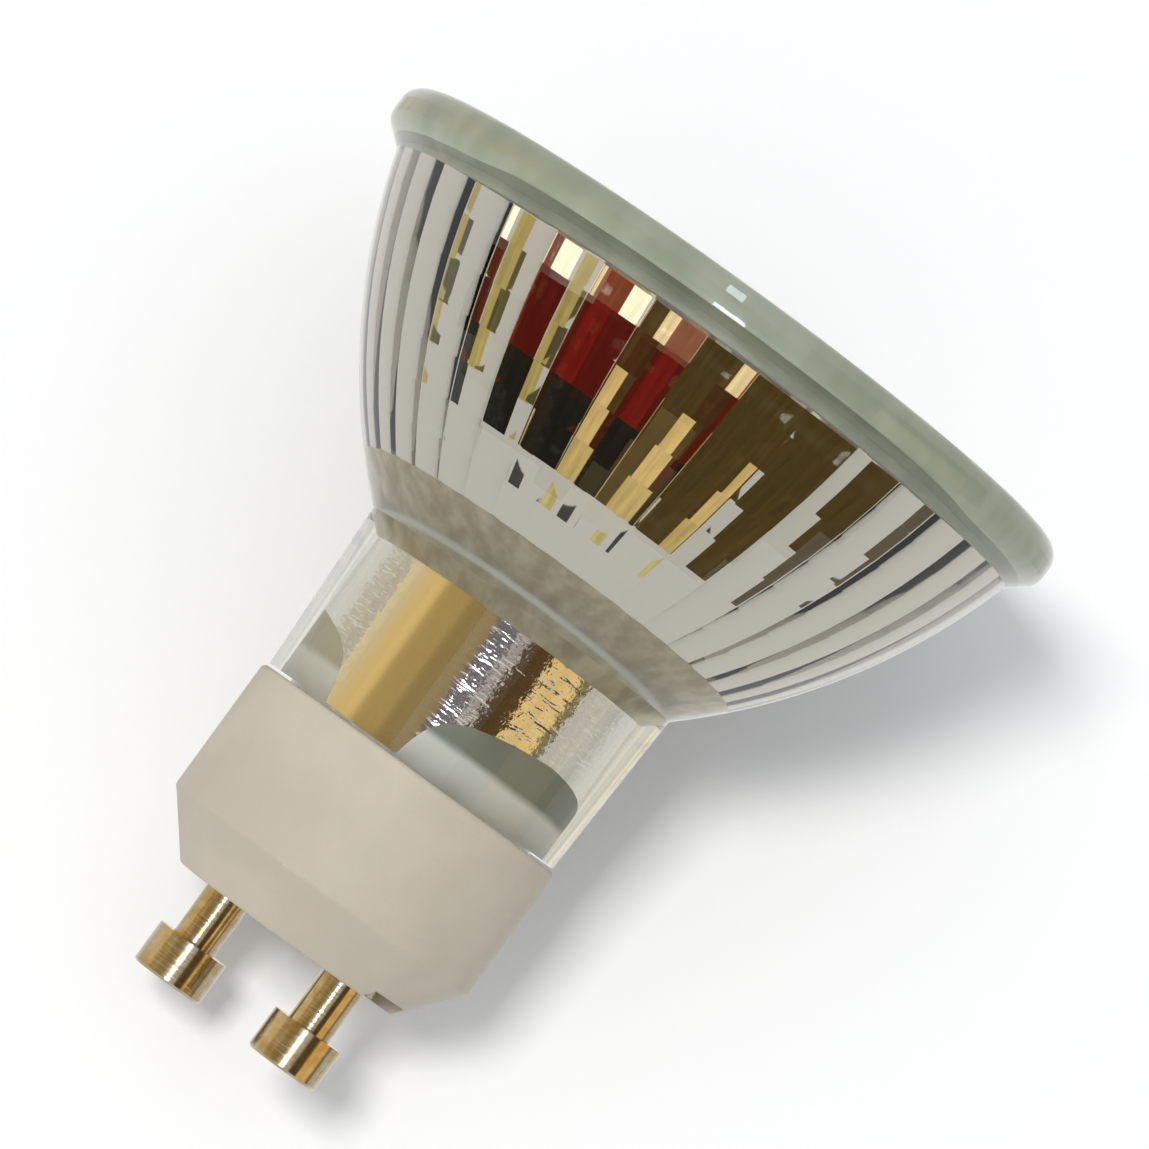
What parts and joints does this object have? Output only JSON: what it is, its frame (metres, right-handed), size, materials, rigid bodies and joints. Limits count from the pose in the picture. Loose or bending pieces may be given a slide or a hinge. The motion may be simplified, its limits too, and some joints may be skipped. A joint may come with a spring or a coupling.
{
  "type": "reflector lamp bulb",
  "caption": "Halogen reflector lamp for a wax warmer: faceted mirror bowl, flat cover glass, glass neck and bevelled ceramic cap with twist-lock contact pins.",
  "frame": {"origin": "centre of the front rim plane, on the lamp's axis; the rim rests on z = 0", "axes": "+Z along the lamp's axis from the front glass to the pins; X through both contact pins"},
  "size_m": [0.05, 0.05, 0.0544],
  "materials": {
    "mirror_glass": "clear pressed glass with a mirror coating on its inner faces",
    "cover_glass": "clear, polished, faint green edge",
    "clear_bond": "translucent silicone",
    "steatite": "matte cream, unglazed",
    "cement": "matte light grey",
    "quartz": "clear, polished",
    "tungsten": "dark grey coiled wire",
    "molybdenum": "bright grey metal",
    "nickel_wire": "drawn wire",
    "glass_sleeving": "braided glass fibre",
    "fuse_glass": "sealed glass bead",
    "plated_brass": "thin nickel plate over brass, turned",
    "solder": "bright solder"
  },
  "bodies": {
    "root": {"reflector": "mirror_glass", "front_lens": "cover_glass", "lens_adhesive": "clear_bond", "ceramic_base": "steatite", "base_cement": "cement", "capsule_cement": "cement", "capsule_glass": "quartz", "filament": "tungsten", "filament_support": "molybdenum", "inner_lead_left": "molybdenum", "inner_lead_right": "molybdenum", "foil_left": "molybdenum", "foil_right": "molybdenum", "outer_lead_left": "nickel_wire", "outer_lead_right": "nickel_wire", "fuse_lead": "nickel_wire", "lead_sleeve": "glass_sleeving", "fuse": "fuse_glass", "contact_pin_left": "plated_brass", "contact_pin_right": "plated_brass", "pin_solder_left": "solder", "pin_solder_right": "solder"}
  },
  "joints": []
}
